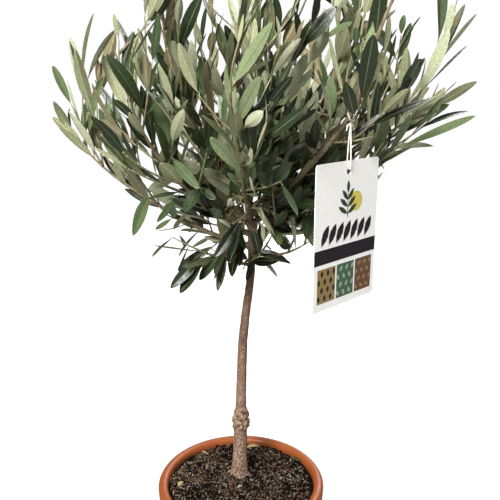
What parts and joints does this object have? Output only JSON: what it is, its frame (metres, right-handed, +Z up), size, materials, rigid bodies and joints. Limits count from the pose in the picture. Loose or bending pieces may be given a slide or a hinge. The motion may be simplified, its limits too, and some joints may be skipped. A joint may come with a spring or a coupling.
{
  "type": "potted olive tree",
  "caption": "Young olive tree with a slim bare trunk and an airy crown of upright leafy shoots, in a round pot with a rolled rim, with a plain card hanging from one bough.",
  "frame": {"origin": "centre of the pot's flat underside", "axes": "+Z up along the pot's axis, -Y towards the viewer of the picture, +X to the viewer's right"},
  "size_m": [0.4477, 0.385, 0.76],
  "materials": {
    "pot": "smooth satin terracotta-coloured plastic",
    "soil": "crumbly potting compost",
    "bark": "matt grey-brown bark",
    "foliage": "matt grey-green leaves",
    "card": "smooth white card",
    "string": "soft white string"
  },
  "bodies": {
    "root": {"pot": "pot", "soil": "soil", "trunk": "bark", "bough_right": "bark", "bough_right_back": "bark", "bough_back": "bark", "bough_left_back": "bark", "bough_left": "bark", "bough_front_left": "bark", "bough_front": "bark", "bough_front_right": "bark", "bough_inner_right": "bark", "bough_inner_back": "bark", "bough_inner_left": "bark", "bough_inner_front": "bark", "foliage_right": "foliage", "foliage_right_back": "foliage", "foliage_back": "foliage", "foliage_left_back": "foliage", "foliage_left": "foliage", "foliage_front_left": "foliage", "foliage_front": "foliage", "foliage_front_right": "foliage", "foliage_inner_right": "foliage", "foliage_inner_back": "foliage", "foliage_inner_left": "foliage", "foliage_inner_front": "foliage", "foliage_leader": "foliage", "foliage_low_front": "foliage", "foliage_low_left": "foliage", "foliage_low_right": "foliage", "foliage_low_back": "foliage", "card": "card", "card_string": "string"}
  },
  "joints": []
}
